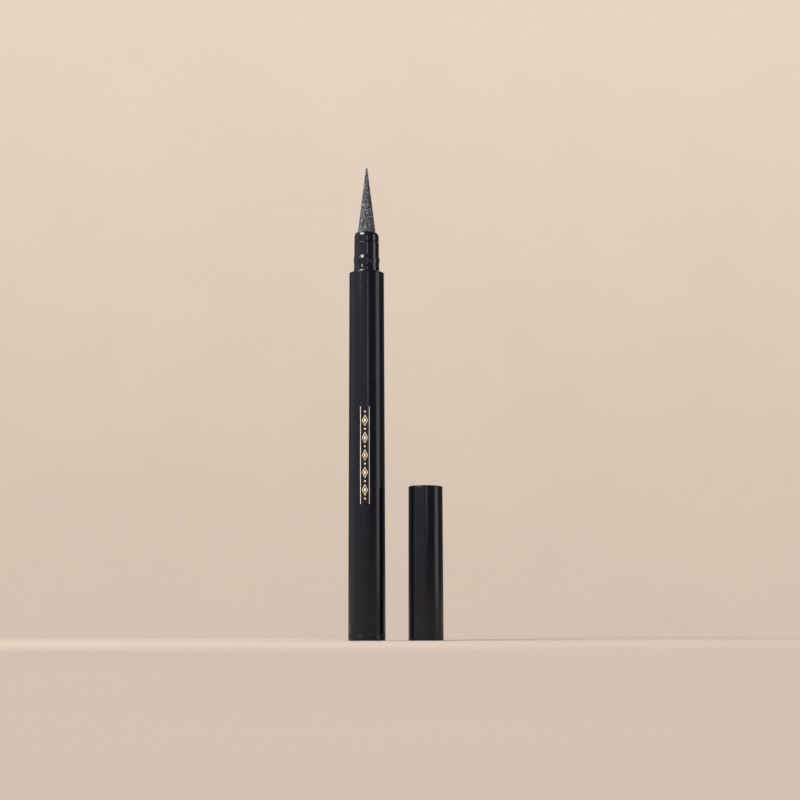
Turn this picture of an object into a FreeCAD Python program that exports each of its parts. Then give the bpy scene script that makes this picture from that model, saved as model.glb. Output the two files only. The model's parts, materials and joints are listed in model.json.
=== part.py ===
"""Liquid eyeliner pen standing on its tail with its cap beside it. Lengths in mm, Z up the pen."""
import FreeCAD
import Part
import math
import os

# Fits shared by all pieces
press_gap = 0.02
slide_gap = 0.05
seal_gap = 0.01
overrun = 1.0

# Nib: a felt rod ground to a long point, with a hole for the wick in its rear end
nib_diameter = 4.72
nib_reach = 17.85
nib_straight = 0.5
nib_shank = 8.4
nib_tip_radius = 0.2
nib_hole_depth = 3.0
nib_cone_round = 1.2
nib_tip_round_share = 0.9

# Tip holder: the nose round the nib, with air grooves along its bore
tip_wall = 0.45
tip_floor = 4.0
nose_height = 2.65
nose_step = 0.015
nose_draft = 0.08
nose_round_share = 0.95
groove_count = 3
groove_width = 0.5
groove_depth = 0.2

# Front collar: the neck that carries the tip holder and takes the cap
collar_wall = 0.5
neck_height = 8.35
waist_step = 0.035
foot_flare = 0.32
foot_height = 1.6
foot_blend = 2.0
bead_height = 0.18
bead_width = 2.2
bead_land = 0.44
bead_level = 3.4
bead_blend = 1.0
collar_ledge = 0.65
collar_spigot_length = 10.0
collar_tail_length = 2.75
collar_seal_share = 0.5
parting_round = 0.14

# Cap, from the neck outwards
bead_clearance = 0.085
sleeve_wall = 0.435
sleeve_foot = 0.4
sleeve_lead = 0.15
sleeve_step_gap = 0.8
guide_step = 0.115
rib_clearance = 0.11
rib_width = 1.0
rib_land = 0.3
rib_play = 0.1
shell_wall = 0.63
cap_draft = 0.13
cap_end_round = 0.4
cap_mouth_round = 0.1
cap_top_wall = 1.3
cap_spacing = 15.7

# Inner cap, its seal and its spring
inner_press = 2.2
inner_travel = 2.55
inner_wall = 0.5
inner_skirt = 7.2
inner_flange = 0.23
inner_flange_height = 0.8
inner_roof = 0.8
inner_top_round = 0.4
nib_room = 1.05
guide_clearance = 0.07
seal_depth = 0.25
seal_height = 1.2
seal_chamfer_share = 0.6
boss_radius = 1.9
boss_height = 1.8
boss_round = 0.2
spring_room = 11.3
spring_wire = 0.5
spring_play = 0.2
spring_turns = 6.5

# Barrel, from the collar outwards
barrel_length = 97.6
barrel_growth = 0.3
mouth_wall = 1.0
shoulder_round = 0.28
tank_step = 0.35

# Tail plug
plug_flange_height = 1.3
plug_inset = 0.03
plug_foot_round = 0.18
plug_spigot_length = 6.0
plug_wall = 1.4
plug_floor = 2.4
plug_seal_share = 0.5
ring_section = 0.7

# Ink tank and mixing ball
tank_wall = 0.6
tank_floor = 1.2
tank_edge_round = 0.3
tank_floor_round = 0.5
collector_seat = 0.4
ball_diameter = 3.0

# Collector: a comb of thin fins on a hollow core
collector_length = 28.0
collector_base = 2.4
collector_head = 1.0
collector_seal_share = 0.5
fin_thickness = 0.4
fin_pitch = 1.12
fin_gap = 0.2
core_wall = 0.6
vent_width = 1.2
slit_width = 0.3

# Feed wick
wick_diameter = 1.94
wick_gap = 0.03
wick_overhang = 5.0
wick_end_round = 0.2

full_turn = 360
steps_per_turn = 4
gap_samples_per_turn = 48

# Radii, each from the piece that it goes round
nib_radius = nib_diameter / 2
wick_radius = wick_diameter / 2
wick_bore = wick_radius + wick_gap
core_radius = wick_bore + core_wall
tip_bore = nib_radius + press_gap
tip_radius = tip_bore + tip_wall
collar_bore = tip_radius + press_gap
collar_throat = tip_radius - collar_ledge
neck_radius = collar_bore + collar_wall
nose_radius = neck_radius - nose_step
nose_rim_radius = nose_radius - nose_draft
nose_round = nose_round_share * (nose_rim_radius - tip_bore)
waist_radius = neck_radius + waist_step
bead_radius = neck_radius + bead_height
foot_radius = neck_radius + foot_flare
cap_bore = bead_radius + bead_clearance
rib_radius = neck_radius + rib_clearance
sleeve_guide = cap_bore - guide_step
sleeve_radius = cap_bore + sleeve_wall
shell_bore = sleeve_radius + press_gap
cap_mouth_radius = shell_bore + shell_wall
cap_end_radius = cap_mouth_radius - cap_draft
inner_radius = sleeve_guide - slide_gap
inner_bore = inner_radius - inner_wall
inner_flange_radius = inner_radius + inner_flange
seal_radius = inner_bore + seal_depth
barrel_front_radius = cap_mouth_radius
barrel_rear_radius = barrel_front_radius + barrel_growth
mouth_bore = barrel_front_radius - mouth_wall
collar_spigot_radius = mouth_bore - press_gap
tank_bore = mouth_bore + tank_step
tank_radius = tank_bore - slide_gap
chamber_radius = tank_radius - tank_wall
ink_radius = chamber_radius - collector_seat
collector_radius = chamber_radius - press_gap
fin_radius = chamber_radius - fin_gap
plug_radius = tank_bore - press_gap
ball_radius = ball_diameter / 2
coil_radius = boss_radius + spring_play + spring_wire / 2

# Heights on the pen
tank_rear = plug_flange_height + plug_spigot_length
shoulder = plug_flange_height + barrel_length
tank_front = shoulder - collar_spigot_length
collector_front = tank_front - collar_tail_length
collector_rear = collector_front - collector_length
ink_floor = tank_rear + tank_floor
parting = shoulder + neck_height
rim = parting + nose_height
nib_rear = rim - nib_shank
nib_hole_top = nib_rear + nib_hole_depth
nib_tip = rim + nib_reach
tip_rear = nib_rear - tip_floor
wick_rear = collector_rear - wick_overhang
wick_front = nib_hole_top - press_gap

# Heights in the cap, which stands on its open end
inner_rim = neck_height + nose_height - inner_press
sleeve_top = inner_rim + inner_skirt
sleeve_step = inner_rim - sleeve_step_gap
rib_level = bead_level - rib_play - (bead_width + rib_width) / 2
inner_shelf = sleeve_top + press_gap
inner_stop = inner_shelf + inner_flange_height + inner_travel
cavity_top = inner_rim + nib_reach + nib_room
inner_top = cavity_top + inner_roof
cap_roof = inner_top + spring_room
cap_length = cap_roof + cap_top_wall


def corner_cut(before, corner, after, rounding):
    """Start, middle and end of the arc that rounds one corner."""
    back = (before - corner).normalize()
    ahead = (after - corner).normalize()
    half = back.getAngle(ahead) / 2
    reach = rounding / math.tan(half)
    inward = (back + ahead).normalize()
    middle = corner + inward * (rounding / math.sin(half) - rounding)
    return corner + back * reach, middle, corner + ahead * reach


def lathe(corners, axis_x=0):
    """Turned solid from closed (radius, height) corners; a third value rounds that corner."""
    points = [FreeCAD.Vector(axis_x + corner[0], 0, corner[1]) for corner in corners]
    count = len(points)
    cuts = []
    for index, corner in enumerate(corners):
        point = points[index]
        rounding = corner[2] if len(corner) > 2 else 0
        if rounding > 0:
            cuts.append(corner_cut(points[index - 1], point, points[(index + 1) % count], rounding))
        else:
            cuts.append((point, None, point))
    edges = []
    for index, (start, middle, end) in enumerate(cuts):
        previous = cuts[index - 1][2]
        if not previous.isEqual(start, Part.Precision.confusion()):
            edges.append(Part.makeLine(previous, start))
        if middle is not None:
            edges.append(Part.Arc(start, middle, end).toShape())
    face = Part.Face(Part.Wire(edges))
    solid = face.revolve(FreeCAD.Vector(axis_x, 0, 0), FreeCAD.Vector(0, 0, 1), full_turn)
    if solid.Volume < 0:
        solid.reverse()
    return solid


def ring_groove(outside, bore, level):
    """Corners, going up, of the groove in a turned outside for a ring that seals on the bore."""
    floor = bore - seal_gap - ring_section - seal_gap
    low = level - ring_section / 2 - seal_gap
    high = level + ring_section / 2 + seal_gap
    return [(outside, low), (floor, low), (floor, high), (outside, high)]


def seal_ring(bore, level):
    """Round rubber ring that lies in such a groove."""
    section_radius = ring_section / 2
    middle = bore - seal_gap - section_radius
    return Part.makeTorus(middle, section_radius, FreeCAD.Vector(0, 0, level))


def upright_slot(inner, outer, width, bottom, top):
    """Block that cuts a slot along Z, from one distance off the axis to another along +X."""
    corner = FreeCAD.Vector(inner, -width / 2, bottom)
    return Part.makeBox(outer - inner, width, top - bottom, corner)


def turned_round(shape, angle):
    """Copy of a shape turned about the pen's axis."""
    copy = shape.copy()
    copy.rotate(FreeCAD.Vector(0, 0, 0), FreeCAD.Vector(0, 0, 1), angle)
    return copy


def coil_point(angle, pitch, bottom):
    """Point and direction of the spring wire's centre line at an angle in radians."""
    rise = pitch / (2 * math.pi)
    point = FreeCAD.Vector(cap_spacing + coil_radius * math.cos(angle),
                           coil_radius * math.sin(angle), bottom + rise * angle)
    way = FreeCAD.Vector(-coil_radius * math.sin(angle), coil_radius * math.cos(angle), rise)
    return point, way.normalize()


def tangent_arc(start, way, end):
    """Arc from one point to another that leaves the first along a given way."""
    chord = end - start
    along = FreeCAD.Vector(chord).normalize()
    side = way - along * way.dot(along)
    bow = side.normalize() * (chord.Length / 2 * math.tan(way.getAngle(chord) / 2))
    return Part.Arc(start, start + chord / 2 + bow, end).toShape()


def biarc(first, first_way, last, last_way):
    """Two tangent arcs between two points with given ways."""
    span = last - first
    bend = 2 * (1 - first_way.dot(last_way))
    pull = span.dot(first_way + last_way)
    reach = (math.sqrt(pull * pull + bend * span.dot(span)) - pull) / bend
    joint = (first + first_way * reach + last - last_way * reach) / 2
    back = tangent_arc(last, last_way * -1, joint)
    return [tangent_arc(first, first_way, joint), back]


def make_spring():
    """Open compression spring between the inner cap and the cap's roof, one tube."""
    bottom = inner_top + spring_wire / 2 + seal_gap
    top = cap_roof - spring_wire / 2 - seal_gap
    pitch = (top - bottom) / spring_turns
    steps = round(spring_turns * steps_per_turn)
    stops = [coil_point(2 * math.pi * step / steps_per_turn, pitch, bottom) for step in range(steps + 1)]
    edges = []
    for (first, first_way), (last, last_way) in zip(stops, stops[1:]):
        edges.extend(biarc(first, first_way, last, last_way))
    path = Part.Wire(Part.__sortEdges__(edges))
    start, way = stops[0]
    section = Part.Wire(Part.makeCircle(spring_wire / 2, start, way))
    samples = round(spring_turns * gap_samples_per_turn)
    line = [coil_point(2 * math.pi * step / gap_samples_per_turn, pitch, bottom)[0]
            for step in range(samples + 1)]
    apart = gap_samples_per_turn // 2
    least = min(here.distanceToPoint(there) for index, here in enumerate(line)
                for there in line[index + apart:])
    print("inner_cap_spring least gap to itself, mm:", round(least - spring_wire, 3))
    return path.makePipeShell([section], True, False)


def make_collector():
    """Comb of fins between two flanges, with an air slot on one side and an ink slit on the other."""
    base_top = collector_rear + collector_base
    head = collector_front - collector_head
    count = int((head - base_top) / fin_pitch)
    pitch = (head - base_top) / count
    outline = [(wick_bore, collector_rear), (collector_radius, collector_rear)]
    outline += ring_groove(collector_radius, chamber_radius,
                           collector_rear + collector_base * collector_seal_share)
    outline += [(collector_radius, base_top), (core_radius, base_top)]
    for number in range(1, count):
        low = base_top + number * pitch - fin_thickness / 2
        high = low + fin_thickness
        outline += [(core_radius, low), (fin_radius, low), (fin_radius, high), (core_radius, high)]
    outline += [(core_radius, head), (collector_radius, head), (collector_radius, collector_front),
                (wick_bore, collector_front)]
    comb = lathe(outline)
    reach = collector_radius + overrun
    air = upright_slot(core_radius, reach, vent_width, base_top, collector_front + overrun)
    slit = upright_slot(0, reach, slit_width, base_top, head)
    return comb.cut([air, turned_round(slit, full_turn / 2)])


def make_tip_holder():
    """Nose with the nib's bore, and air grooves that run the whole way along it."""
    body = lathe([(wick_bore, tip_rear), (tip_radius, tip_rear), (tip_radius, parting),
                  (nose_radius, parting, parting_round), (nose_rim_radius, rim, nose_round),
                  (tip_bore, rim), (tip_bore, nib_rear), (wick_bore, nib_rear)])
    groove = upright_slot(tip_bore - groove_width, tip_bore + groove_depth, groove_width,
                          tip_rear - overrun, rim + overrun)
    turns = [full_turn * number / groove_count for number in range(groove_count)]
    return body.cut([turned_round(groove, turn) for turn in turns])


barrel = lathe([
    (barrel_rear_radius, plug_flange_height, parting_round),
    (barrel_front_radius, shoulder, shoulder_round),
    (mouth_bore, shoulder), (mouth_bore, tank_front),
    (tank_bore, tank_front), (tank_bore, plug_flange_height)])

plug_seal_level = plug_flange_height + plug_spigot_length * plug_seal_share
tail_plug = lathe([
    (0, 0), (barrel_rear_radius - plug_inset, 0, plug_foot_round),
    (barrel_rear_radius - plug_inset, plug_flange_height, parting_round),
    (plug_radius, plug_flange_height)]
    + ring_groove(plug_radius, tank_bore, plug_seal_level)
    + [(plug_radius, tank_rear), (plug_radius - plug_wall, tank_rear),
       (plug_radius - plug_wall, plug_floor), (0, plug_floor)])

ink_tank = lathe([
    (0, tank_rear), (tank_radius, tank_rear, tank_edge_round), (tank_radius, tank_front),
    (chamber_radius, tank_front), (chamber_radius, collector_rear), (ink_radius, collector_rear),
    (ink_radius, ink_floor, tank_floor_round), (0, ink_floor)])

collar_seal_level = tank_front - collar_tail_length * collar_seal_share
bead_low = shoulder + bead_level - bead_width / 2
bead_high = shoulder + bead_level + bead_width / 2
front_collar = lathe([
    (collar_throat, collector_front), (collector_radius, collector_front)]
    + ring_groove(collector_radius, chamber_radius, collar_seal_level)
    + [(collector_radius, tank_front), (collar_spigot_radius, tank_front),
       (collar_spigot_radius, shoulder), (foot_radius, shoulder),
       (waist_radius, shoulder + foot_height, foot_blend),
       (waist_radius, bead_low, bead_blend),
       (bead_radius, shoulder + bead_level - bead_land / 2, bead_blend),
       (bead_radius, shoulder + bead_level + bead_land / 2, bead_blend),
       (neck_radius, bead_high, bead_blend),
       (neck_radius, parting, parting_round), (collar_bore, parting),
       (collar_bore, tip_rear), (collar_throat, tip_rear)])

nib = lathe([
    (0, nib_hole_top), (wick_bore, nib_hole_top), (wick_bore, nib_rear), (nib_radius, nib_rear),
    (nib_radius, rim + nib_straight, nib_cone_round),
    (nib_tip_radius, nib_tip, nib_tip_radius * nib_tip_round_share), (0, nib_tip)])

feed_wick = lathe([
    (0, wick_rear), (wick_radius, wick_rear, wick_end_round),
    (wick_radius, wick_front, wick_end_round), (0, wick_front)])

mixing_ball = Part.makeSphere(ball_radius, FreeCAD.Vector(0, 0, ink_floor + ball_radius))

cap_shell = lathe([
    (shell_bore, 0), (cap_mouth_radius, 0, cap_mouth_round),
    (cap_end_radius, cap_length, cap_end_round), (0, cap_length), (0, cap_roof - boss_height),
    (boss_radius, cap_roof - boss_height, boss_round), (boss_radius, cap_roof),
    (inner_radius + guide_clearance, cap_roof), (inner_radius + guide_clearance, inner_stop),
    (inner_flange_radius + guide_clearance, inner_stop),
    (inner_flange_radius + guide_clearance, sleeve_top), (shell_bore, sleeve_top)], cap_spacing)

cap_sleeve = lathe([
    (cap_bore, sleeve_foot, sleeve_lead), (sleeve_radius, sleeve_foot), (sleeve_radius, sleeve_top),
    (sleeve_guide, sleeve_top), (sleeve_guide, sleeve_step), (cap_bore, sleeve_step),
    (cap_bore, rib_level + rib_width / 2), (rib_radius, rib_level + rib_land / 2),
    (rib_radius, rib_level - rib_land / 2), (cap_bore, rib_level - rib_width / 2)], cap_spacing)

inner_cap = lathe([
    (seal_radius, inner_rim), (inner_radius, inner_rim), (inner_radius, inner_shelf),
    (inner_flange_radius, inner_shelf), (inner_flange_radius, inner_shelf + inner_flange_height),
    (inner_radius, inner_shelf + inner_flange_height), (inner_radius, inner_top, inner_top_round),
    (boss_radius, inner_top), (boss_radius, inner_top + boss_height, boss_round),
    (0, inner_top + boss_height), (0, cavity_top), (inner_bore, cavity_top, inner_top_round),
    (inner_bore, inner_rim + seal_height), (seal_radius, inner_rim + seal_height)], cap_spacing)

seal_chamfer = seal_depth * seal_chamfer_share
inner_cap_seal = lathe([
    (inner_bore + seal_chamfer, inner_rim), (seal_radius - press_gap, inner_rim),
    (seal_radius - press_gap, inner_rim + seal_height - press_gap),
    (inner_bore, inner_rim + seal_height - press_gap),
    (inner_bore, inner_rim + seal_chamfer)], cap_spacing)

nodes = {
    "barrel": barrel,
    "tail_plug": tail_plug,
    "tail_plug_seal": seal_ring(tank_bore, plug_seal_level),
    "ink_tank": ink_tank,
    "mixing_ball": mixing_ball,
    "collector": make_collector(),
    "collector_seal": seal_ring(chamber_radius, collector_rear + collector_base * collector_seal_share),
    "feed_wick": feed_wick,
    "front_collar": front_collar,
    "collar_seal": seal_ring(chamber_radius, collar_seal_level),
    "tip_holder": make_tip_holder(),
    "nib": nib,
    "cap_shell": cap_shell,
    "cap_sleeve": cap_sleeve,
    "inner_cap": inner_cap,
    "inner_cap_seal": inner_cap_seal,
    "inner_cap_spring": make_spring(),
}

os.makedirs("parts", exist_ok=True)
for name, shape in nodes.items():
    shape.exportStep("parts/" + name + ".step")
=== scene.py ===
"""Dresses a liquid eyeliner pen and its cap, and sets them on a pale stage."""
import json
import math

import bmesh
import bpy
from bpy.props import FloatProperty, FloatVectorProperty, IntProperty, PointerProperty
from bpy.types import Operator, Panel, PropertyGroup
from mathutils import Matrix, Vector

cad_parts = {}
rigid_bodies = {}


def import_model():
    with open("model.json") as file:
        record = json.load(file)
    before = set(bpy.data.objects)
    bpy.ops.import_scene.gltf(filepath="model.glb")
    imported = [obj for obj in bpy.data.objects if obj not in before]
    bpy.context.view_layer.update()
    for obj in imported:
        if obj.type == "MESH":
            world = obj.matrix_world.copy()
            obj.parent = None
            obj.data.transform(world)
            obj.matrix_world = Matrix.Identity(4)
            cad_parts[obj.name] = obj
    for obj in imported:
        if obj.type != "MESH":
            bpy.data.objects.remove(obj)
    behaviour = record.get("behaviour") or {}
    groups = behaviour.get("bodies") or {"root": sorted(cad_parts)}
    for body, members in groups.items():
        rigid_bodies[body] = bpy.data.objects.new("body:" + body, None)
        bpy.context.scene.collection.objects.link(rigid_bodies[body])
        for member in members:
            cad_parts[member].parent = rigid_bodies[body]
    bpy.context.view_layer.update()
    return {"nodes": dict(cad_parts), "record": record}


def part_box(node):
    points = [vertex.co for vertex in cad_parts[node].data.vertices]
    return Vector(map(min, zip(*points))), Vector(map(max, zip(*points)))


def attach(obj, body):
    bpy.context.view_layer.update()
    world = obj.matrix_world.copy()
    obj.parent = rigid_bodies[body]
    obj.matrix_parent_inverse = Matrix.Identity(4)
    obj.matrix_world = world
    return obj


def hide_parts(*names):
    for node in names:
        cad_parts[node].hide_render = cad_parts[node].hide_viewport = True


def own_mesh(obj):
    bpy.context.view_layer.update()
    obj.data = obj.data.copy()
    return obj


bl_info = {
    "name": "Liquid Eyeliner Pen",
    "version": (1, 0, 0),
    "blender": (4, 5, 0),
    "location": "3D View > Sidebar > Eyeliner",
    "description": "Models the look of a liquid eyeliner pen and its cap on a pale stage",
    "category": "Add Mesh",
}

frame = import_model()


def entry(entries, name):
    """Entry of that name in one of the record's lists."""
    return next(item for item in entries if item["name"] == name)


MM = 0.001
PEN_AXIS = 0.0
CAP_AXIS = entry(frame["record"]["mounts"], "cap_mouth")["pos_m"][0]
# Gap between pieces that are pushed into each other, and round the wick
FIT = 0.02 * MM
WICK_GAP = 0.03 * MM
# Half the width of a groove for a sealing ring
HALF_GROOVE = 0.36 * MM
# Points closer than this are joined into one
SEAM = 2e-7
# A point this close to a corner of an outline is that corner
NEAR = 5 * SEAM
# Edges along each rounded corner of an outline
ROUND_STEPS = 10
# Ranges that hold most values of a noise, and its middle values
NOISE_SPAN = (0.3, 0.7)
MIDDLE_SPAN = (0.35, 0.65)
# Places of the colour sockets on a mix node
FIRST_COLOUR, SECOND_COLOUR, MIXED_COLOUR = 6, 7, 2


class PenSizes(PropertyGroup):
    """Sizes of the pieces."""

    barrel_rear: FloatProperty(
        name="Barrel rear radius", description="Radius of the barrel above the tail plug",
        default=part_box("barrel")[1].x, min=0.002, unit="LENGTH", precision=5)
    barrel_front: FloatProperty(
        name="Barrel front radius", description="Radius of the barrel at its shoulder",
        default=4.7 * MM, min=0.002, unit="LENGTH", precision=5)
    shoulder_round: FloatProperty(
        name="Shoulder round", description="Rounding of the barrel's front edge",
        default=0.28 * MM, min=0.0, unit="LENGTH", precision=5)
    plug_radius: FloatProperty(
        name="Tail plug radius", description="Radius of the tail plug's flange",
        default=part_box("tail_plug")[1].x, min=0.002, unit="LENGTH", precision=5)
    neck: FloatProperty(
        name="Neck radius", description="Radius of the neck between its bead and the nose",
        default=3.35 * MM, min=0.001, unit="LENGTH", precision=5)
    bead: FloatProperty(
        name="Bead height", description="How far the bead that holds the cap stands out of the neck",
        default=0.18 * MM, min=0.0, unit="LENGTH", precision=5)
    bead_level: FloatProperty(
        name="Bead level", description="Height of the bead's middle above the barrel's shoulder",
        default=3.4 * MM, min=0.0, unit="LENGTH", precision=5)
    collar_round: FloatProperty(
        name="Collar round", description="Rounding of the neck's edge below the nose",
        default=0.32 * MM, min=0.0, unit="LENGTH", precision=5)
    parting_round: FloatProperty(
        name="Parting round", description="Rounding of the edges along the tail plug's parting line",
        default=0.14 * MM, min=0.0, unit="LENGTH", precision=5)
    nose_spigot: FloatProperty(
        name="Nose spigot radius", description="Radius of the nose's spigot inside the neck",
        default=2.83 * MM, min=0.001, unit="LENGTH", precision=5)
    nose_round: FloatProperty(
        name="Nose round", description="Rounding of the nose's rim",
        default=0.65 * MM, min=0.0, unit="LENGTH", precision=5)
    nib: FloatProperty(
        name="Nib radius", description="Radius of the felt rod",
        default=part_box("nib")[1].x, min=0.0005, unit="LENGTH", precision=5)
    nib_tip: FloatProperty(
        name="Nib tip radius", description="Radius of the nib's blunt point",
        default=0.2 * MM, min=0.0, unit="LENGTH", precision=5)
    felt_depth: FloatProperty(
        name="Felt roughness", description="Height of the felt's clumps of fibre",
        default=0.1 * MM, min=0.0, unit="LENGTH", precision=5)
    cap_end_round: FloatProperty(
        name="Cap end round", description="Rounding of the cap's closed end",
        default=0.4 * MM, min=0.0, unit="LENGTH", precision=5)
    band_height: FloatProperty(
        name="Band height", description="Height of the ornament on the barrel",
        default=26.0 * MM, min=0.005, unit="LENGTH", precision=5)
    band_width: FloatProperty(
        name="Band width", description="Width of the ornament on the barrel",
        default=2.5 * MM, min=0.0005, unit="LENGTH", precision=5)
    turn_steps: IntProperty(
        name="Turn steps", description="Faces round each turned piece", default=252, min=24, max=360)


class PenColours(PropertyGroup):
    """Colours of the pieces and of the stage."""

    barrel: FloatVectorProperty(
        name="Barrel", description="Satin plastic of the barrel and cap",
        default=(0.0048, 0.0057, 0.0096), subtype="COLOR", size=3, min=0.0, max=1.0)
    scuff: FloatVectorProperty(
        name="Scuffs", description="Worn plastic along the edges of the barrel, tail plug and cap",
        default=(0.042, 0.041, 0.044), subtype="COLOR", size=3, min=0.0, max=1.0)
    neck: FloatVectorProperty(
        name="Neck", description="Glossy plastic of the neck and nose",
        default=(0.0048, 0.0056, 0.0092), subtype="COLOR", size=3, min=0.0, max=1.0)
    # The felt material paints glints of light on the pale fibres and flecks that it makes from this colour.
    felt: FloatVectorProperty(
        name="Felt", description="Fibres of the nib, before they are shaded lighter and darker",
        default=(0.150, 0.154, 0.170), subtype="COLOR", size=3, min=0.0, max=1.0)
    foil: FloatVectorProperty(
        name="Foil", description="Metal foil of the ornament",
        default=(1.0, 0.79, 0.61), subtype="COLOR", size=3, min=0.0, max=1.0)
    floor: FloatVectorProperty(
        name="Floor", description="Floor that the pen stands on",
        default=(0.66, 0.533, 0.44), subtype="COLOR", size=3, min=0.0, max=1.0)
    backdrop: FloatVectorProperty(
        name="Backdrop", description="Wall behind the pen",
        default=(0.64, 0.524, 0.43), subtype="COLOR", size=3, min=0.0, max=1.0)


# Modelling


def deselect():
    """Leave nothing selected."""
    for item in bpy.context.view_layer.objects:
        item.select_set(False)


def only(piece):
    """Select one piece and make it active."""
    deselect()
    piece.select_set(True)
    bpy.context.view_layer.objects.active = piece


def named(name):
    """Name the newly added object and its mesh, and return it."""
    piece = bpy.context.object
    piece.name = name
    piece.data.name = name
    return piece


def pick(piece, wanted, kind="VERT"):
    """In edit mode, select only the vertices or edges whose place passes a test."""
    bpy.ops.mesh.select_mode(type=kind)
    bpy.ops.mesh.select_all(action="DESELECT")
    mesh = bmesh.from_edit_mesh(piece.data)
    if kind == "VERT":
        chosen = [vert for vert in mesh.verts if wanted(vert.co)]
    else:
        chosen = [edge for edge in mesh.edges if all(wanted(vert.co) for vert in edge.verts)]
    if not chosen:
        raise RuntimeError(f"nothing to pick on {piece.name}")
    for part in chosen:
        part.select_set(True)
    bmesh.update_edit_mesh(piece.data)


def apply_all(piece):
    """Apply a piece's modifiers from the first to the last."""
    only(piece)
    for name in [modifier.name for modifier in piece.modifiers]:
        bpy.ops.object.modifier_apply(modifier=name)


def outline(name, corners, axis_x, closed):
    """Draw an outline from (radius, height, rounding) corners by extruding a point, and round it."""
    places = [Vector((axis_x + corner[0], 0, corner[1])) for corner in corners]
    deselect()
    bpy.ops.mesh.primitive_plane_add(size=MM, location=(0, 0, 0))
    piece = named(name)
    bpy.ops.object.mode_set(mode="EDIT")
    bpy.ops.mesh.select_mode(type="VERT")
    bpy.ops.mesh.select_all(action="SELECT")
    bpy.ops.mesh.merge(type="CENTER")
    bpy.ops.transform.translate(value=places[0])
    for here, there in zip(places, places[1:]):
        bpy.ops.mesh.extrude_region_move(TRANSFORM_OT_translate={"value": there - here})
    if closed:
        pick(piece, lambda co: min((co - places[0]).length, (co - places[-1]).length) < NEAR)
        bpy.ops.mesh.edge_face_add()
    for number, corner in enumerate(corners):
        if len(corner) < 3:
            continue
        place = places[number]
        back = (places[number - 1] - place).normalized()
        ahead = (places[(number + 1) % len(places)] - place).normalized()
        reach = corner[2] / math.tan(back.angle(ahead) / 2)
        pick(piece, lambda co: (co - place).length < NEAR)
        bpy.ops.mesh.bevel(offset=reach, offset_type="OFFSET", segments=ROUND_STEPS, profile=0.5,
                           affect="VERTICES", clamp_overlap=True)
    return piece


def turn(piece, axis_x, steps):
    """Spin an outline about its upright axis into a closed skin, and leave edit mode."""
    bpy.ops.mesh.select_all(action="SELECT")
    bpy.ops.mesh.spin(steps=steps, dupli=False, angle=math.tau, use_auto_merge=True,
                      center=(axis_x, 0, 0), axis=(0, 0, 1))
    bpy.ops.mesh.select_all(action="SELECT")
    bpy.ops.mesh.remove_doubles(threshold=SEAM)
    bpy.ops.mesh.normals_make_consistent(inside=False)
    bpy.ops.object.mode_set(mode="OBJECT")


def smooth(piece, degrees=32):
    """Shade a piece smooth but for its sharp edges."""
    only(piece)
    bpy.ops.object.shade_smooth_by_angle(angle=math.radians(degrees))


def turned(name, corners, axis_x=PEN_AXIS, closed=True):
    """Turned piece from its outline."""
    piece = outline(name, corners, axis_x, closed)
    turn(piece, axis_x, bpy.context.scene.pen_sizes.turn_steps)
    smooth(piece)
    return piece


def ring_groove(ring):
    """Lower and upper edge of the groove that holds a sealing ring."""
    middle = sum(corner.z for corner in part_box(ring)) / 2
    return middle - HALF_GROOVE, middle + HALF_GROOVE


def settle(piece, body, slot, material, *nodes):
    """Give a finished piece its material and body, and hide the nodes that it stands for. The slot is not
    used.
    """
    piece.data.materials.clear()
    piece.data.materials.append(material)
    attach(piece, body)
    if nodes:
        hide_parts(*nodes)
    deselect()


# Materials


def lighter(colour, factor):
    """Colour times a factor."""
    return tuple(min(1.0, channel * factor) for channel in colour)


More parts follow.
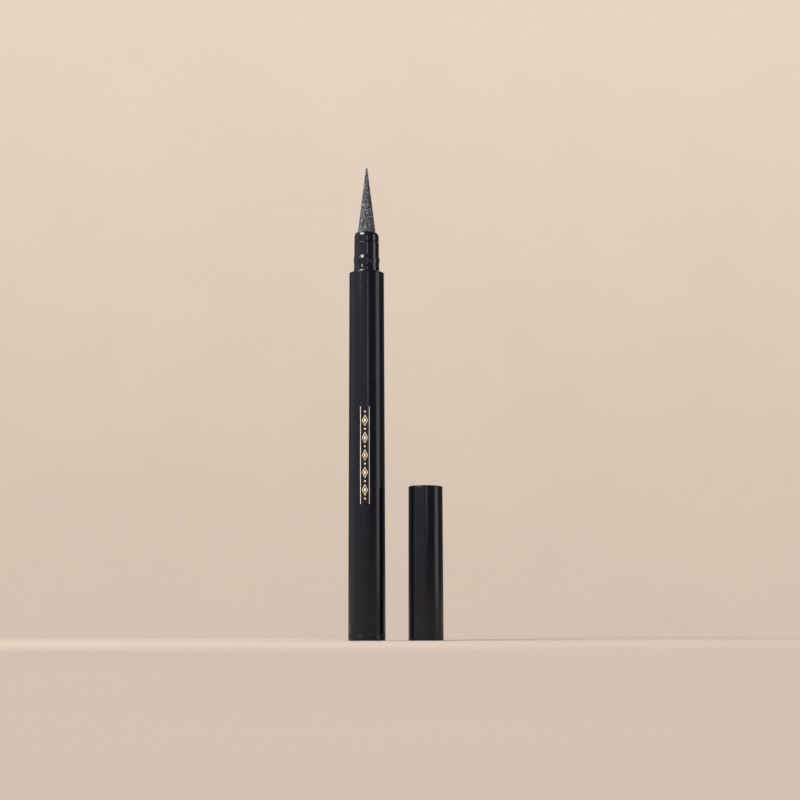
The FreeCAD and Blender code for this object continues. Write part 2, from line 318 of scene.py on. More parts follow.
class Shader:
    """Node tree of one material, built a node at a time."""

    def __init__(self, name):
        self.material = bpy.data.materials.new(name)
        self.material.use_nodes = True
        self.tree = self.material.node_tree
        self.surface = self.tree.nodes["Principled BSDF"]
        self.place = self.add("ShaderNodeTexCoord").outputs["Object"]

    def add(self, kind, **settings):
        """Add a node with these settings."""
        node = self.tree.nodes.new(kind)
        for key, value in settings.items():
            setattr(node, key, value)
        return node

    def link(self, output, target):
        """Join an output to an input."""
        self.tree.links.new(output, target)

    def set(self, **values):
        """Set constants on the surface's own sockets."""
        for key, value in values.items():
            self.surface.inputs[key.replace("_", " ")].default_value = value

    def stretched(self, scale):
        """Object coordinates, scaled for a drawn-out pattern."""
        node = self.add("ShaderNodeMapping", vector_type="POINT")
        node.inputs["Scale"].default_value = scale
        self.link(self.place, node.inputs["Vector"])
        return node.outputs["Vector"]

    def noise(self, scale, detail=3.0, roughness=0.55, distortion=0.0, vector=None):
        """Noise value of about a half."""
        node = self.add("ShaderNodeTexNoise")
        node.inputs["Scale"].default_value = scale
        node.inputs["Detail"].default_value = detail
        node.inputs["Roughness"].default_value = roughness
        node.inputs["Distortion"].default_value = distortion
        self.link(vector or self.place, node.inputs["Vector"])
        return node.outputs["Fac"]

    def ranged(self, value, low, high, to_low, to_high, eased=False):
        """Value moved from one range to another."""
        node = self.add("ShaderNodeMapRange",
                        interpolation_type="SMOOTHSTEP" if eased else "LINEAR", clamp=True)
        for key, number in (("From Min", low), ("From Max", high), ("To Min", to_low), ("To Max", to_high)):
            node.inputs[key].default_value = number
        self.link(value, node.inputs["Value"])
        return node.outputs["Result"]

    def spread(self, value, span=NOISE_SPAN, eased=False):
        """Value stretched from a span to the range from nought to one."""
        return self.ranged(value, *span, 0.0, 1.0, eased)

    def combine(self, first, second, operation="MULTIPLY"):
        """Two values multiplied, or combined by another operation."""
        node = self.add("ShaderNodeMath", operation=operation)
        self.link(first, node.inputs[0])
        if isinstance(second, float):
            node.inputs[1].default_value = second
        else:
            self.link(second, node.inputs[1])
        return node.outputs["Value"]

    def height(self):
        """Height above the floor."""
        node = self.add("ShaderNodeSeparateXYZ")
        self.link(self.place, node.inputs["Vector"])
        return node.outputs["Z"]

    def blend(self, share, first, second):
        """Colour between two colours or colour outputs."""
        node = self.add("ShaderNodeMix", data_type="RGBA", blend_type="MIX")
        self.link(share, node.inputs["Factor"])
        for colour, socket in ((first, node.inputs[FIRST_COLOUR]), (second, node.inputs[SECOND_COLOUR])):
            if isinstance(colour, bpy.types.NodeSocket):
                self.link(colour, socket)
            else:
                socket.default_value = (*colour, 1.0)
        return node.outputs[MIXED_COLOUR]

    def shades(self, share, colour, dark, light):
        """Colour between a darker and a lighter shade of one colour."""
        return self.blend(share, lighter(colour, dark), lighter(colour, light))

    def colour(self, output):
        """Colour of the surface."""
        self.link(output, self.surface.inputs["Base Color"])

    def roughness(self, value, low, high, span=NOISE_SPAN):
        """Roughness of the surface, from low to high with a value."""
        self.link(self.ranged(value, *span, low, high), self.surface.inputs["Roughness"])

    def bump(self, value, depth, strength, under=None):
        """Relief of the surface, in metres, on top of another relief."""
        node = self.add("ShaderNodeBump")
        node.inputs["Strength"].default_value = strength
        node.inputs["Distance"].default_value = depth
        self.link(value, node.inputs["Height"])
        if under is not None:
            self.link(under, node.inputs["Normal"])
        self.link(node.outputs["Normal"], self.surface.inputs["Normal"])
        return node.outputs["Normal"]


def satin_plastic(name, colours, worn_edge):
    """Moulded satin plastic with a soft cloudiness, hairlines and scuffs along an edge at one height."""
    worn, clean = 0.1 * MM, 0.45 * MM
    shader = Shader(name)
    shader.set(IOR=1.49, Specular_IOR_Level=0.32)
    cloud = shader.noise(170.0, detail=2.0)
    hair = shader.noise(1.0, detail=2.0, vector=shader.stretched((9000.0, 9000.0, 70.0)))
    tint = shader.shades(shader.spread(cloud), colours.barrel, dark=0.9, light=1.12)
    off_edge = shader.combine(shader.combine(shader.height(), worn_edge, "SUBTRACT"), 0.0, "ABSOLUTE")
    near = shader.ranged(off_edge, worn, clean, 1.0, 0.0, eased=True)
    patches = shader.spread(shader.noise(260.0, detail=1.0), (0.44, 0.56))
    scratches = shader.noise(1.0, roughness=0.65, vector=shader.stretched((2200.0, 2200.0, 4200.0)))
    scuffs = shader.combine(shader.combine(near, patches), shader.spread(scratches, (0.46, 0.62)))
    shader.colour(shader.blend(scuffs, tint, colours.scuff))
    shader.roughness(shader.combine(cloud, hair), low=0.15, high=0.22, span=(0.15, 0.38))
    shader.bump(shader.noise(9000.0, detail=2.0), depth=0.4e-6, strength=0.5)
    return shader.material


def gloss_plastic(name, colour):
    """Polished moulded plastic with faint handling marks."""
    shader = Shader(name)
    shader.set(IOR=1.5, Specular_IOR_Level=0.42)
    cloud = shader.noise(420.0, detail=2.0)
    marks = shader.noise(1.0, detail=2.0, vector=shader.stretched((500.0, 500.0, 1400.0)))
    shader.colour(shader.shades(cloud, colour, dark=0.9, light=1.15))
    shader.roughness(shader.combine(cloud, marks), low=0.07, high=0.10, span=(0.15, 0.4))
    shader.bump(shader.noise(2600.0, detail=1.0), depth=0.1e-6, strength=0.3)
    return shader.material


def felt(name, colour):
    """Pressed felt: dark ground with a net of pale curled fibres and paler flecks, which are partly the
    fibres' own colour and partly painted glints of light.
    """
    # The pale fibres and flecks are paler felt with painted glints of light on it.
    fibre_and_glint_colour, fleck_and_glint_colour, fleck_share = lighter(colour, 1.75), lighter(colour, 2.2), 0.3
    shader = Shader(name)
    shader.set(Sheen_Weight=0.12, Sheen_Roughness=0.4, Specular_IOR_Level=0.2)
    fibres = shader.noise(3300.0, detail=1.0, roughness=0.5, distortion=0.3)
    flecks = shader.noise(5600.0, detail=1.0, roughness=0.5)
    clumps = shader.noise(700.0, detail=2.0)
    fibre_glint_mask = shader.spread(fibres, (0.50, 0.64), eased=True)
    fleck_glint_mask = shader.spread(flecks, (0.58, 0.68))
    ground = shader.shades(shader.spread(clumps, MIDDLE_SPAN), colour, dark=0.12, light=0.22)
    net = shader.blend(fibre_glint_mask, ground, fibre_and_glint_colour)
    shader.colour(shader.blend(shader.combine(fleck_glint_mask, fleck_share), net, fleck_and_glint_colour))
    shader.roughness(flecks, low=0.82, high=0.98)
    pile = shader.bump(fibres, depth=0.05 * MM, strength=0.7)
    shader.bump(flecks, depth=0.03 * MM, strength=0.8, under=pile)
    return shader.material


def hot_foil(name, colour):
    """Stamped metal foil with a fine mottle from the press."""
    shader = Shader(name)
    shader.set(Metallic=0.2)
    mottle = shader.noise(3200.0, roughness=0.6)
    shader.colour(shader.shades(shader.spread(mottle, MIDDLE_SPAN), colour, dark=0.86, light=1.1))
    shader.roughness(mottle, low=0.32, high=0.46)
    shader.bump(mottle, depth=2.0e-6, strength=0.6)
    return shader.material


def soft_moulding(name, colour, low, high, grain=2400.0, depth=1.5e-6):
    """Plain moulded plastic or rubber with a fine even grain, and rough from low to high."""
    shader = Shader(name)
    cloud = shader.noise(300.0, detail=2.0)
    fine = shader.noise(grain)
    shader.colour(shader.shades(cloud, colour, dark=0.9, light=1.06))
    shader.roughness(fine, low, high)
    shader.bump(fine, depth, strength=0.6)
    return shader.material


def fibre_rod(name, colour):
    """Bundle of fibres that run along the rod."""
    shader = Shader(name)
    along = shader.stretched((7000.0, 7000.0, 140.0))
    strands = shader.noise(1.0, detail=4.0, roughness=0.65, vector=along)
    shader.colour(shader.shades(shader.spread(strands), colour, dark=0.45, light=1.4))
    shader.roughness(strands, low=0.75, high=0.95)
    shader.bump(strands, depth=0.03 * MM, strength=0.8)
    return shader.material


def bright_steel(name, grain):
    """Bright steel with a fine mottle left by its drawing or grinding."""
    dull, bright = (0.52, 0.52, 0.53), (0.68, 0.68, 0.69)
    shader = Shader(name)
    shader.set(Metallic=1.0)
    mottle = shader.noise(grain)
    shader.colour(shader.blend(mottle, dull, bright))
    shader.roughness(mottle, low=0.16, high=0.3)
    shader.bump(mottle, depth=0.6e-6, strength=0.5)
    return shader.material


def neck_gloss(colours):
    """Gloss that the neck and the nose share, made on first use."""
    return bpy.data.materials.get("neck_gloss") or gloss_plastic("neck_gloss", colours.neck)


# Pieces


class EYELINER_OT_barrel(Operator):
    """Turn the long tapered barrel"""
    bl_idname = "eyeliner.barrel"
    bl_label = "Barrel"

    def execute(self, context):
        sizes = context.scene.pen_sizes
        low, high = (corner.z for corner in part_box("barrel"))
        tank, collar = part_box("ink_tank")[1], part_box("front_collar")[1]
        tank_gap, mouth_round = 0.05 * MM, 0.05 * MM
        bore, mouth = tank.x + tank_gap, collar.x + FIT
        piece = turned("barrel_tube", [
            (sizes.barrel_rear, low, sizes.parting_round), (sizes.barrel_front, high, sizes.shoulder_round),
            (mouth, high, mouth_round), (mouth, tank.z), (bore, tank.z), (bore, low)])
        settle(piece, "pen", "barrel_plastic",
               satin_plastic("barrel_satin", context.scene.pen_colours, low), "barrel")
        return {"FINISHED"}


class EYELINER_OT_tail_plug(Operator):
    """Turn the tail plug that closes the barrel, with its ring groove"""
    bl_idname = "eyeliner.tail_plug"
    bl_label = "Tail plug"

    def execute(self, context):
        sizes = context.scene.pen_sizes
        flange, foot_round, end_round = sizes.plug_radius, 0.18 * MM, 0.1 * MM
        spigot, groove, hollow, hollow_floor = 4.03 * MM, 3.33 * MM, 2.63 * MM, 2.4 * MM
        top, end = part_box("barrel")[0].z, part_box("tail_plug")[1].z
        low, high = ring_groove("tail_plug_seal")
        piece = turned("tail_plug_body", [
            (0, 0), (flange, 0, foot_round), (flange, top, sizes.parting_round), (spigot, top),
            (spigot, low), (groove, low), (groove, high), (spigot, high), (spigot, end, end_round),
            (hollow, end), (hollow, hollow_floor), (0, hollow_floor)], closed=False)
        settle(piece, "pen", "barrel_plastic",
               satin_plastic("plug_satin", context.scene.pen_colours, top), "tail_plug")
        return {"FINISHED"}


class EYELINER_OT_neck(Operator):
    """Turn the neck with its flared foot and the bead that holds the cap"""
    bl_idname = "eyeliner.neck"
    bl_label = "Neck"

    def execute(self, context):
        sizes = context.scene.pen_sizes
        rear, front = (corner.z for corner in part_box("front_collar"))
        shoulder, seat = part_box("barrel")[1].z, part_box("front_collar")[1].x
        seat_low, bore_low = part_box("ink_tank")[1].z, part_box("tip_holder")[0].z
        tail, groove, throat, bore = 3.38 * MM, 2.67 * MM, 2.18 * MM, sizes.nose_spigot + FIT
        groove_low, groove_high = ring_groove("collar_seal")
        neck, bead = sizes.neck, sizes.neck + sizes.bead
        foot, base, waist = neck + 0.32 * MM, neck + 0.12 * MM, neck + 0.04 * MM
        base_low, base_high, waist_low = (shoulder + rise * MM for rise in (0.36, 1.1, 2.0))
        foot_round, waist_round, bead_round = 0.9 * MM, 1.5 * MM, 1.0 * MM
        level, land, reach = shoulder + sizes.bead_level, 0.22 * MM, 1.1 * MM
        piece = turned("neck_collar", [
            (throat, rear), (tail, rear), (tail, groove_low), (groove, groove_low), (groove, groove_high),
            (tail, groove_high), (tail, seat_low), (seat, seat_low), (seat, shoulder), (foot, shoulder),
            (base, base_low, foot_round), (base, base_high, waist_round), (waist, waist_low, waist_round),
            (waist, level - reach, bead_round), (bead, level - land, bead_round),
            (bead, level + land, bead_round), (neck, level + reach, bead_round),
            (neck, front, sizes.collar_round), (bore, front), (bore, bore_low), (throat, bore_low)])
        settle(piece, "pen", "neck_plastic", neck_gloss(context.scene.pen_colours), "front_collar")
        return {"FINISHED"}


class EYELINER_OT_nose(Operator):
    """Turn the rounded nose and press the air grooves into its bore"""
    bl_idname = "eyeliner.nose"
    bl_label = "Nose"

    def execute(self, context):
        sizes = context.scene.pen_sizes
        rear, rim = (corner.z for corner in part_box("tip_holder"))
        parting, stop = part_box("front_collar")[1].z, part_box("nib")[0].z
        spigot, bore, wick = sizes.nose_spigot, sizes.nib + FIT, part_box("feed_wick")[1].x + WICK_GAP
        spigot_round, parting_edge, cone_round = 0.1 * MM, 0.03 * MM, 0.6 * MM
        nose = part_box("tip_holder")[1].x
        cone_low, cone_foot, cone_top = rim - 0.95 * MM, nose - 0.06 * MM, nose - 0.297 * MM
        piece = turned("nose_holder", [
            (wick, rear), (spigot, rear, spigot_round), (spigot, parting), (nose, parting, parting_edge),
            (cone_foot, cone_low, cone_round), (cone_top, rim, sizes.nose_round),
            (bore, rim), (bore, stop), (wick, stop)])
        only(piece)
        bpy.ops.object.mode_set(mode="EDIT")
        groove_depth, off_bore = 0.2 * MM, 0.01 * MM
        # Degrees from one groove to the next, and from a groove's middle to its side
        apart, half_groove = 120, 6.0

        def grooved(co):
            angle = math.degrees(math.atan2(co.y, co.x)) % apart
            return abs(co.xy.length - bore) < off_bore and min(angle, apart - angle) < half_groove

        pick(piece, grooved)
        deeper = (bore + groove_depth) / bore
        bpy.ops.transform.resize(value=(deeper, deeper, 1), center_override=(0, 0, 0))
        bpy.ops.object.mode_set(mode="OBJECT")
        smooth(piece)
        settle(piece, "pen", "neck_plastic", neck_gloss(context.scene.pen_colours), "tip_holder")
        return {"FINISHED"}


class EYELINER_OT_nib(Operator):
    """Turn the felt nib and raise its clumps of fibre"""
    bl_idname = "eyeliner.nib"
    bl_label = "Felt nib"

    def raise_felt(self, piece, sizes, rim):
        """Lift clumps and fibres out of the felt, from nothing in the nose to all above it."""
        fade, least = 0.6 * MM, 0.35
        raised = piece.vertex_groups.new(name="raised")
        for vert in piece.data.vertices:
            share = min(1.0, max(0.0, (vert.co.z - rim) / fade))
            raised.add([vert.index], share * min(1.0, least + vert.co.xy.length / sizes.nib), "REPLACE")
        for name, grain, depth in (("felt_clumps", 0.42 * MM, 1.0), ("felt_fibres", 0.16 * MM, 0.55)):
            texture = bpy.data.textures.new(name, type="CLOUDS")
            texture.noise_scale = grain
            texture.noise_depth = 2
            displace = piece.modifiers.new(name, "DISPLACE")
            displace.texture = texture
            displace.texture_coords = "LOCAL"
            displace.strength = sizes.felt_depth * depth
            displace.mid_level = 0.62
            displace.vertex_group = "raised"
        apply_all(piece)

    def execute(self, context):
        sizes = context.scene.pen_sizes
        rear, tip = (corner.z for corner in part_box("nib"))
        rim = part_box("tip_holder")[1].z
        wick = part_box("feed_wick")[1]
        hole, hole_top, straight = wick.x + WICK_GAP, wick.z + FIT, rim + 0.5 * MM
        taper_round, tip_round, margin, rings = 1.2 * MM, sizes.nib_tip * 0.9, 0.1 * MM, 110
        piece = outline("nib_felt", [
            (0, hole_top), (hole, hole_top), (hole, rear), (sizes.nib, rear),
            (sizes.nib, straight, taper_round), (sizes.nib_tip, tip, tip_round), (0, tip)],
            PEN_AXIS, closed=False)
        pick(piece, lambda co: straight + margin < co.z < tip - margin, "EDGE")
        bpy.ops.mesh.subdivide(number_cuts=rings)
        turn(piece, PEN_AXIS, sizes.turn_steps)
        self.raise_felt(piece, sizes, rim)
        smooth(piece, degrees=60)
        settle(piece, "pen", "felt", felt("nib_felt", context.scene.pen_colours.felt), "nib")
        return {"FINISHED"}


class EYELINER_OT_cap(Operator):
    """Turn the cap's shell with the seats inside it"""
    bl_idname = "eyeliner.cap"
    bl_label = "Cap shell"

    def execute(self, context):
        sizes = context.scene.pen_sizes
        low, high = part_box("cap_shell")
        mouth = high.x - CAP_AXIS
        end, mouth_round, bore_round = mouth - 0.13 * MM, 0.1 * MM, 0.06 * MM
        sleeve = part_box("cap_sleeve")[1]
        wide, wide_top = sleeve.x - CAP_AXIS + FIT, sleeve.z
        middle, middle_top = 3.75 * MM, 19.37 * MM
        narrow, roof = 3.52 * MM, 39.8 * MM
        boss, boss_low, boss_round = 1.9 * MM, roof - 1.8 * MM, 0.2 * MM
        piece = turned("cap_tube", [
            (0, high.z), (end, high.z, sizes.cap_end_round), (mouth, 0, mouth_round), (wide, 0, bore_round),
            (wide, wide_top), (middle, wide_top), (middle, middle_top), (narrow, middle_top),
            (narrow, roof), (boss, roof), (boss, boss_low, boss_round), (0, boss_low)],
            CAP_AXIS, closed=False)
        settle(piece, "cap", "barrel_plastic",
               satin_plastic("cap_satin", context.scene.pen_colours, low.z), "cap_shell")
        return {"FINISHED"}


class EYELINER_OT_spring(Operator):
    """Wind the spring that presses the inner cap on the nose"""
    bl_idname = "eyeliner.spring"
    bl_label = "Inner cap spring"

    def execute(self, context):
        low, high = (corner.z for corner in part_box("inner_cap_spring"))
        wire, turns, wire_sides, steps = 0.25 * MM, 6.5, 16, 48
        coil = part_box("inner_cap_spring")[1].x - CAP_AXIS - wire
        deselect()
        bpy.ops.mesh.primitive_circle_add(vertices=wire_sides, radius=wire, fill_type="NOTHING",
                                          location=(0, 0, 0))
        piece = named("inner_cap_coil")
        bpy.ops.object.mode_set(mode="EDIT")
        bpy.ops.transform.rotate(value=math.pi / 2, orient_axis="X", center_override=(0, 0, 0))
        bpy.ops.transform.translate(value=(coil, 0, low + wire))
        bpy.ops.object.mode_set(mode="OBJECT")
        piece.location.x = CAP_AXIS
        wind = piece.modifiers.new("wind", "SCREW")
        wind.axis = "Z"
        wind.angle = math.tau * turns
        wind.screw_offset = high - low - 2 * wire
        wind.steps = wind.render_steps = round(turns * steps)
        wind.use_merge_vertices = False
        apply_all(piece)
        bpy.ops.object.transform_apply(location=True, rotation=True, scale=True)
        bpy.ops.object.mode_set(mode="EDIT")
        bpy.ops.mesh.select_mode(type="EDGE")
        bpy.ops.mesh.select_all(action="DESELECT")
        bpy.ops.mesh.select_non_manifold()
        bpy.ops.mesh.fill_holes(sides=wire_sides)
        bpy.ops.mesh.select_all(action="SELECT")
        bpy.ops.mesh.normals_make_consistent(inside=False)
        bpy.ops.object.mode_set(mode="OBJECT")
        smooth(piece, degrees=40)
        settle(piece, "cap", "steel", bright_steel("spring_wire", 2500.0), "inner_cap_spring")
        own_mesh(piece)
        return {"FINISHED"}


class EYELINER_OT_foil_band(Operator):
    """Stamp a plain column of lozenges and dots on the front of the barrel"""
    bl_idname = "eyeliner.foil_band"
    bl_label = "Foil band"

    def stamp(self, name, vertices, half_width, half_height, rim, squared):
        """Flat foil figure in the XZ plane, with an open middle where a rim is given."""
        deselect()
        bpy.ops.mesh.primitive_circle_add(vertices=vertices, radius=1.0, fill_type="NGON",
                                          location=(0, 0, 0))
        piece = named(name)
        bpy.ops.object.mode_set(mode="EDIT")
        if squared:
            bpy.ops.transform.rotate(value=math.pi / 4, orient_axis="Z", center_override=(0, 0, 0))
            bpy.ops.transform.resize(value=(math.sqrt(2), math.sqrt(2), 1), center_override=(0, 0, 0))
        bpy.ops.transform.rotate(value=math.pi / 2, orient_axis="X", center_override=(0, 0, 0))
        bpy.ops.transform.resize(value=(half_width, 1, half_height), center_override=(0, 0, 0))
        if rim:
            bpy.ops.mesh.inset(thickness=rim, depth=0)
            bpy.ops.mesh.delete(type="FACE")
        bpy.ops.object.mode_set(mode="OBJECT")
        return piece

    def copies(self, piece, places):
        """Copies of a figure at these places on the flat pattern, and no figure left at the middle."""
        made = []
        for across, up in places:
            only(piece)
            bpy.ops.object.duplicate(linked=False)
            copy = bpy.context.object
            bpy.ops.object.mode_set(mode="EDIT")
            bpy.ops.mesh.select_all(action="SELECT")
            bpy.ops.transform.translate(value=(across, 0, up))
            bpy.ops.object.mode_set(mode="OBJECT")
            made.append(copy)
        bpy.data.objects.remove(piece, do_unlink=True)
        return made

    def pattern(self, sizes):
        """Figures of the whole band, laid out flat about the middle."""
        half, tall = sizes.band_width / 2, sizes.band_height / 2
        pitches, rim, half_rule, inset = 5.6, 0.16 * MM, 0.075 * MM, 0.08 * MM
        pitch = sizes.band_height / pitches
        lozenge = (half * 0.62, pitch * 0.34)
        kernel = (half * 0.27, pitch * 0.15)
        dot = (half * 0.2, half * 0.2)
        rule = (half_rule, tall)
        rows = [(0, number * pitch) for number in range(-2, 3)]
        between = [(0, (number + 0.5) * pitch) for number in range(-3, 3)]
        sides = [(side * (half - inset), 0) for side in (-1, 1)]
        figures = []
        for name, vertices, size, open_rim, squared, places in (
                ("foil_lozenge", 4, lozenge, rim, False, rows),
                ("foil_kernel", 4, kernel, 0, False, rows),
                ("foil_dot", 20, dot, 0, False, between),
                ("foil_rule", 4, rule, 0, True, sides)):
            figures += self.copies(self.stamp(name, vertices, *size, open_rim, squared), places)
        return figures

    def execute(self, context):
        barrel = bpy.data.objects.get("barrel_tube")
        if barrel is None:
            raise RuntimeError("the foil band needs the barrel first")
        middle, in_front = Vector((-0.43 * MM, 0, 49.1 * MM)), Vector((0, -8.0 * MM, 0))
        halvings = 3
        figures = self.pattern(context.scene.pen_sizes)
        deselect()
        for figure in figures:
            figure.select_set(True)
        context.view_layer.objects.active = figures[0]
        bpy.ops.object.join()
        piece = named("foil_band")
        bpy.ops.object.mode_set(mode="EDIT")
        bpy.ops.mesh.select_all(action="SELECT")
        bpy.ops.transform.translate(value=middle + in_front)
        bpy.ops.mesh.quads_convert_to_tris()
        for _ in range(halvings):
            bpy.ops.mesh.select_all(action="SELECT")
            bpy.ops.mesh.subdivide(number_cuts=1)
        bpy.ops.object.mode_set(mode="OBJECT")
        wrap = piece.modifiers.new("wrap", "SHRINKWRAP")
        wrap.target = barrel
        wrap.wrap_method = "PROJECT"
        wrap.use_project_y = True
        wrap.use_positive_direction = True
        wrap.offset = 0.004 * MM
        leaf = piece.modifiers.new("leaf", "SOLIDIFY")
        leaf.thickness = 0.012 * MM
        leaf.offset = 0.0
        apply_all(piece)
        bpy.ops.object.mode_set(mode="EDIT")
        bpy.ops.mesh.select_all(action="SELECT")
        bpy.ops.mesh.normals_make_consistent(inside=False)
        bpy.ops.object.mode_set(mode="OBJECT")
        smooth(piece, degrees=40)
        settle(piece, "pen", "foil", hot_foil("rose_gold_foil", context.scene.pen_colours.foil))
        return {"FINISHED"}


class EYELINER_OT_inner_pieces(Operator):
    """Give the pieces inside the pen and the cap their materials"""
    bl_idname = "eyeliner.inner_pieces"
    bl_label = "Inner pieces"

    def execute(self, context):
        rubber = soft_moulding("seal_rubber", (0.018, 0.018, 0.019), 0.5, 0.72, grain=3800.0, depth=3.0e-6)
        finishes = {
            "tail_plug_seal": rubber,
            "collector_seal": rubber,
            "collar_seal": rubber,
            "inner_cap_seal": rubber,
            "ink_tank": soft_moulding("tank_polypropylene", (0.66, 0.68, 0.67), 0.32, 0.46),
            "collector": soft_moulding("collector_resin", (0.55, 0.55, 0.54), 0.42, 0.6),
            "cap_sleeve": soft_moulding("sleeve_resin", (0.02, 0.02, 0.021), 0.34, 0.5),
            "inner_cap": soft_moulding("inner_cap_resin", (0.74, 0.74, 0.71), 0.36, 0.52),
            "feed_wick": fibre_rod("wick_fibres", (0.055, 0.055, 0.06)),
            "mixing_ball": bright_steel("ball_steel", 1800.0),
        }
        for node, material in finishes.items():
            mesh = frame["nodes"][node].data
            mesh.materials.clear()
            mesh.materials.append(material)
        return {"FINISHED"}


class EYELINER_OT_stage(Operator):
    """Set the floor, backdrop, lights and camera"""
    bl_idname = "eyeliner.stage"
    bl_label = "Stage"

    def paper(self, name, colour, paleness, glow):
        """Matt paper with a faint mottle. Camera, gloss and glass see its colour evenly lit, or only
        where it glows if a glow is given."""
        mottling = 0.06
        shader = Shader(name)
        grain = shader.noise(14.0, detail=4.0, roughness=0.6)
        mottle = shader.ranged(grain, *NOISE_SPAN, -mottling, mottling)
        tint = shader.shades(shader.combine(paleness(shader), mottle, "ADD"), colour, dark=1.0, light=1.26)
        shader.colour(tint)
        shader.set(Roughness=0.9, Specular_IOR_Level=0.15)
        light = shader.add("ShaderNodeEmission")
        shader.link(tint, light.inputs["Color"])
        path = shader.add("ShaderNodeLightPath")
        seen = shader.combine(path.outputs["Is Camera Ray"], path.outputs["Is Glossy Ray"], "MAXIMUM")
        seen = shader.combine(seen, path.outputs["Is Transmission Ray"], "MAXIMUM")
        mix = shader.add("ShaderNodeMixShader")
        shader.link(shader.combine(seen, glow(shader)) if glow else seen, mix.inputs["Fac"])
        shader.link(shader.surface.outputs["BSDF"], mix.inputs[1])
        shader.link(light.outputs["Emission"], mix.inputs[2])
        shader.link(mix.outputs["Shader"], shader.tree.nodes["Material Output"].inputs["Surface"])
        return shader.material

    def floor_paper(self, colour):
        """Paper that keeps the shadows round the pen and is evenly lit farther off."""
        shadows, even, pale_share = 0.09, 0.26, 0.2

        def away(shader):
            node = shader.add("ShaderNodeVectorMath", operation="LENGTH")
            shader.link(shader.place, node.inputs[0])
            return shader.spread(node.outputs["Value"], (shadows, even), eased=True)

        def paleness(shader):
            return shader.ranged(away(shader), 0.0, 1.0, pale_share, 0.0)

        return self.paper("floor_paper", colour, paleness, away)

    def backdrop_paper(self, colour):
        """Paper with painted light that pales it from the floor upwards."""
        foot, pale = -0.02, 0.45

        # Painted light: the paleness grows with height, as the light on the backdrop would.
        def paleness(shader):
            return shader.spread(shader.height(), (foot, pale))

        return self.paper("backdrop_paper", colour, paleness, None)

    def sheet(self, name, width, depth, place, upright, material):
        """Large flat sheet, lying or upright."""
        deselect()
        bpy.ops.mesh.primitive_plane_add(size=1.0, location=(0, 0, 0))
        piece = named(name)
        bpy.ops.object.mode_set(mode="EDIT")
        bpy.ops.transform.resize(value=(width, depth, 1), center_override=(0, 0, 0))
        bpy.ops.mesh.subdivide(number_cuts=7)
        bpy.ops.mesh.select_all(action="SELECT")
        if upright:
            bpy.ops.transform.rotate(value=math.pi / 2, orient_axis="X", center_override=(0, 0, 0))
        bpy.ops.transform.translate(value=place)
        bpy.ops.object.mode_set(mode="OBJECT")
        piece.data.materials.append(material)
        deselect()

    def lamp(self, name, place, target, width, height, watts, colour=(1.0, 1.0, 1.0)):
        """Soft rectangular lamp turned to a target."""
        deselect()
        bpy.ops.object.light_add(type="AREA", location=place)
        lamp = named(name)
        lamp.data.shape = "RECTANGLE"
        lamp.data.size = width
        lamp.data.size_y = height
        lamp.data.energy = watts
        lamp.data.color = colour
        lamp.rotation_euler = (Vector(target) - Vector(place)).to_track_quat("-Z", "Y").to_euler()
        lamp.visible_camera = False

    def lamps(self):
        """Lamps from above on the left, from both sides of the camera, and from behind."""
        middle, neck, nib = (0.005, 0, 0.06), (0, 0, 0.1), (0, 0, 0.12)
        cool, blue = (0.90, 0.95, 1.0), (0.8, 0.9, 1.0)
        self.lamp("key_lamp", (-0.462, -0.388, 0.546), middle, width=0.46, height=0.17, watts=5.2)
        self.lamp("left_panel", (-0.5, -0.1, 0.8), middle, width=0.8, height=0.6, watts=2.2)
        self.lamp("side_box", (0.62, -0.14, 0.16), nib, width=0.3, height=0.6, watts=1.2, colour=cool)
        self.lamp("front_strip", (0.10, -0.75, 0.205), neck, width=0.10, height=0.2, watts=0.2, colour=cool)
        self.lamp("low_window", (-0.5, -0.54, 0.365), neck, width=0.06, height=0.06, watts=0.30, colour=blue)
        self.lamp("back_fill", (0.25, 0.6, 0.5), middle, width=0.4, height=0.4, watts=0.8)

    def room(self, scene):
        """Dim room round the stage, paler in front on the left."""
        left = math.radians(-62)
        dim, pale = (0.13, 0.13, 0.135, 1.0), (0.63, 0.63, 0.65, 1.0)
        world = bpy.data.worlds.new("studio_room")
        world.use_nodes = True
        tree = world.node_tree
        place = tree.nodes.new("ShaderNodeTexCoord")
        facing = tree.nodes.new("ShaderNodeVectorMath")
        facing.operation = "DOT_PRODUCT"
        facing.inputs[1].default_value = (math.sin(left), -math.cos(left), 0.0)
        spread = tree.nodes.new("ShaderNodeMapRange")
        spread.interpolation_type = "SMOOTHSTEP"
        for key, number in zip(("From Min", "From Max", "To Min", "To Max"), (*MIDDLE_SPAN, 0.0, 1.0)):
            spread.inputs[key].default_value = number
        mix = tree.nodes.new("ShaderNodeMix")
        mix.data_type = "RGBA"
        mix.inputs[FIRST_COLOUR].default_value = dim
        mix.inputs[SECOND_COLOUR].default_value = pale
        tree.links.new(place.outputs["Generated"], facing.inputs[0])
        tree.links.new(facing.outputs["Value"], spread.inputs["Value"])
        tree.links.new(spread.outputs["Result"], mix.inputs["Factor"])
        tree.links.new(mix.outputs[MIXED_COLOUR], tree.nodes["Background"].inputs["Color"])
        scene.world = world

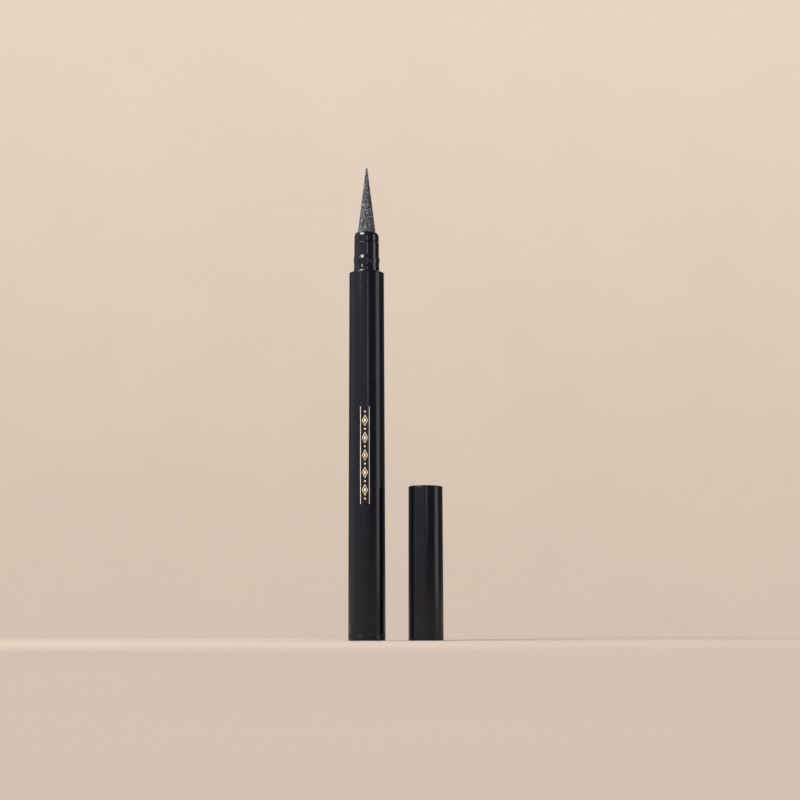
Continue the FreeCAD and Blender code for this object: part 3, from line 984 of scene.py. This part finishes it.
    def camera(self, scene):
        """Camera low in front of the pen, looking slightly up."""
        place, tilt, roll = (0.00879, -0.5614, 0.004), math.radians(96.13), math.radians(0.14)
        deselect()
        bpy.ops.object.camera_add(location=place, rotation=(tilt, roll, 0))
        camera = named("photo_camera")
        camera.data.sensor_width = 36.0
        camera.data.lens = 94.5
        camera.data.clip_start = 0.01
        camera.data.clip_end = 20.0
        scene.camera = camera

    def execute(self, context):
        scene = context.scene
        self.sheet("floor", width=6.0, depth=6.0, place=(0, 0, 0), upright=False,
                   material=self.floor_paper(scene.pen_colours.floor))
        self.sheet("backdrop", width=0.64, depth=1.2, place=(0, 0.95, 0.45), upright=True,
                   material=self.backdrop_paper(scene.pen_colours.backdrop))
        self.lamps()
        self.room(scene)
        self.camera(scene)
        scene.view_settings.view_transform = "Standard"
        return {"FINISHED"}


class EYELINER_PT_panel(Panel):
    """Pieces of the eyeliner pen, in the order in which they are made"""
    bl_idname = "EYELINER_PT_panel"
    bl_label = "Eyeliner Pen"
    bl_space_type = "VIEW_3D"
    bl_region_type = "UI"
    bl_category = "Eyeliner"

    def draw(self, context):
        layout = self.layout
        for group in (context.scene.pen_sizes, context.scene.pen_colours):
            column = layout.column(align=True)
            for key in group.__annotations__:
                column.prop(group, key)
        column = layout.column(align=True)
        for operator in OPERATORS:
            column.operator(operator.bl_idname)


OPERATORS = (EYELINER_OT_barrel, EYELINER_OT_tail_plug, EYELINER_OT_neck, EYELINER_OT_nose, EYELINER_OT_nib,
             EYELINER_OT_cap, EYELINER_OT_spring, EYELINER_OT_foil_band, EYELINER_OT_inner_pieces,
             EYELINER_OT_stage)
CLASSES = (PenSizes, PenColours, *OPERATORS, EYELINER_PT_panel)


def register():
    """Register the classes and the scene's settings."""
    for item in CLASSES:
        bpy.utils.register_class(item)
    bpy.types.Scene.pen_sizes = PointerProperty(type=PenSizes)
    bpy.types.Scene.pen_colours = PointerProperty(type=PenColours)


def unregister():
    """Take the settings and classes away again."""
    del bpy.types.Scene.pen_colours
    del bpy.types.Scene.pen_sizes
    for item in reversed(CLASSES):
        bpy.utils.unregister_class(item)


def main():
    """Make every piece and the stage."""
    register()
    for operator in OPERATORS:
        group, name = operator.bl_idname.split(".")
        getattr(getattr(bpy.ops, group), name)()


if __name__ == "__main__":
    main()
